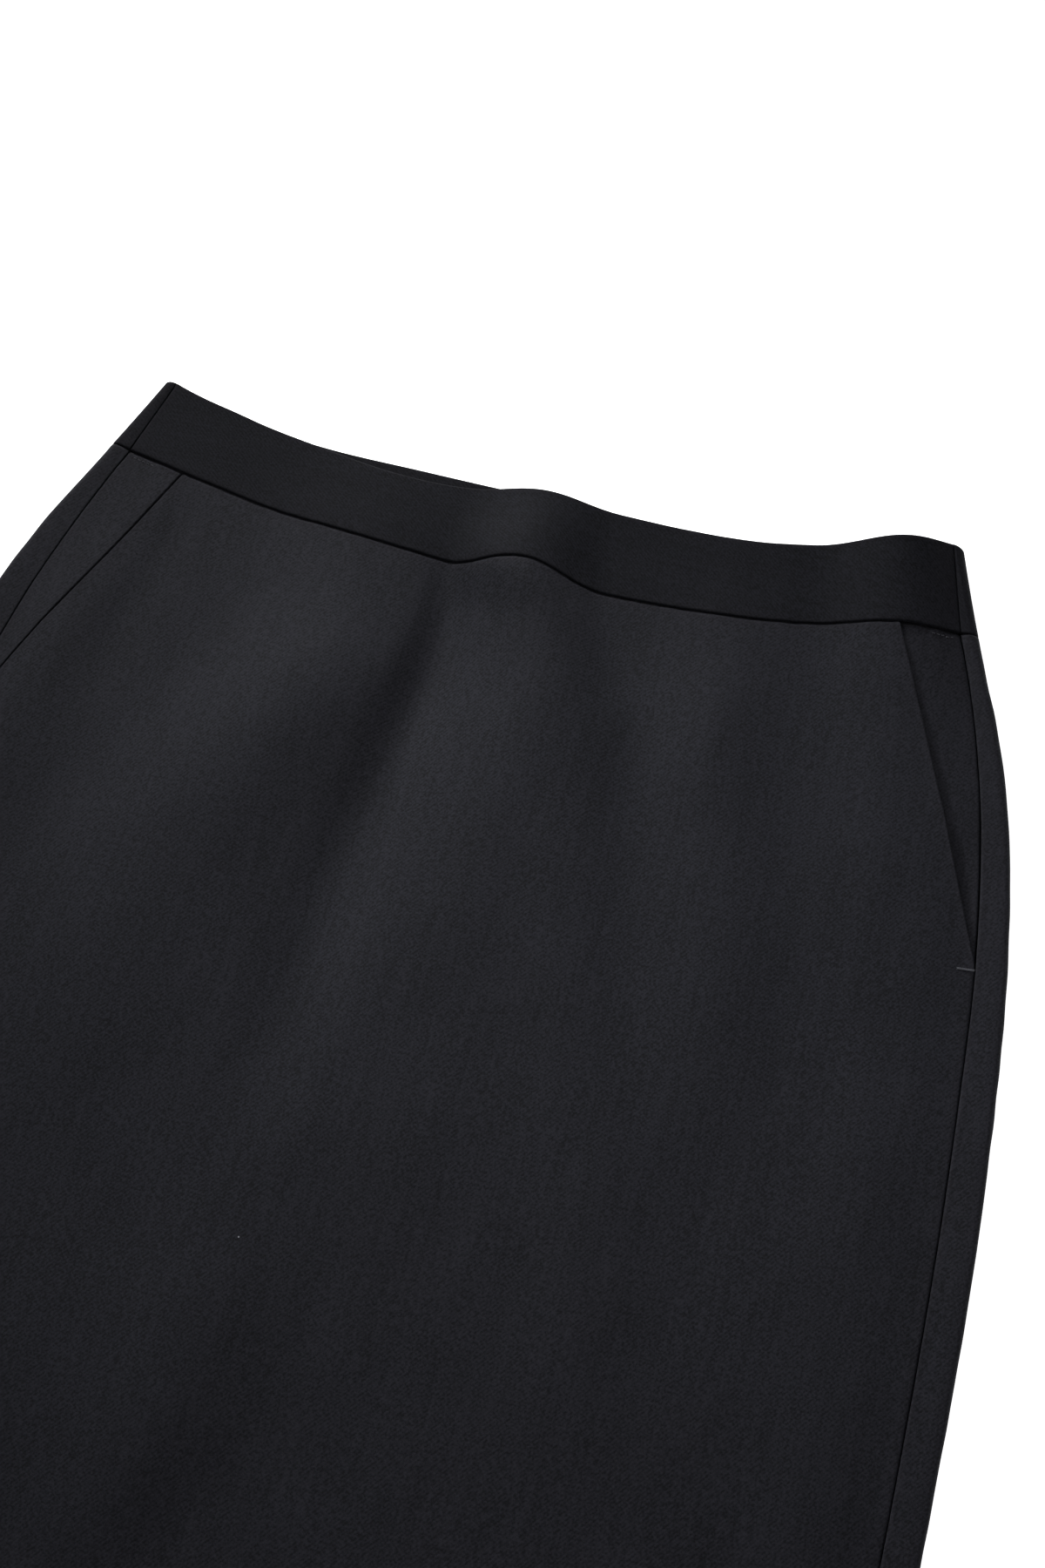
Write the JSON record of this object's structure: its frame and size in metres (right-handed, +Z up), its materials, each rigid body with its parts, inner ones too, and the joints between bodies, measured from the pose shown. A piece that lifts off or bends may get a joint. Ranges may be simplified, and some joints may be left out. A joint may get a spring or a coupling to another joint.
{
  "type": "pencil skirt",
  "caption": "Knee-length pencil skirt in fine black suiting with a shaped waistband and slanted front pockets, laid flat on its back.",
  "frame": {"origin": "on the resting surface, under the middle of the laid skirt's box", "axes": "+X across the skirt to the viewer's right, +Y from the hem up to the waist, +Z up through the front"},
  "size_m": [0.4748, 0.6412, 0.0206],
  "materials": {
    "suiting": "fine worsted twill, soft sheen",
    "zip_nylon": "woven nylon tape with a moulded coil",
    "slider_metal": "black enamel"
  },
  "bodies": {
    "root": {"front_panel": "suiting", "front_waistband": "suiting", "pocket_yoke_left": "suiting", "back_panel_left": "suiting", "back_waistband_left": "suiting", "pocket_yoke_right": "suiting", "back_panel_right": "suiting", "back_waistband_right": "suiting", "zip_tape": "zip_nylon", "zip_slider": "slider_metal"}
  },
  "joints": []
}
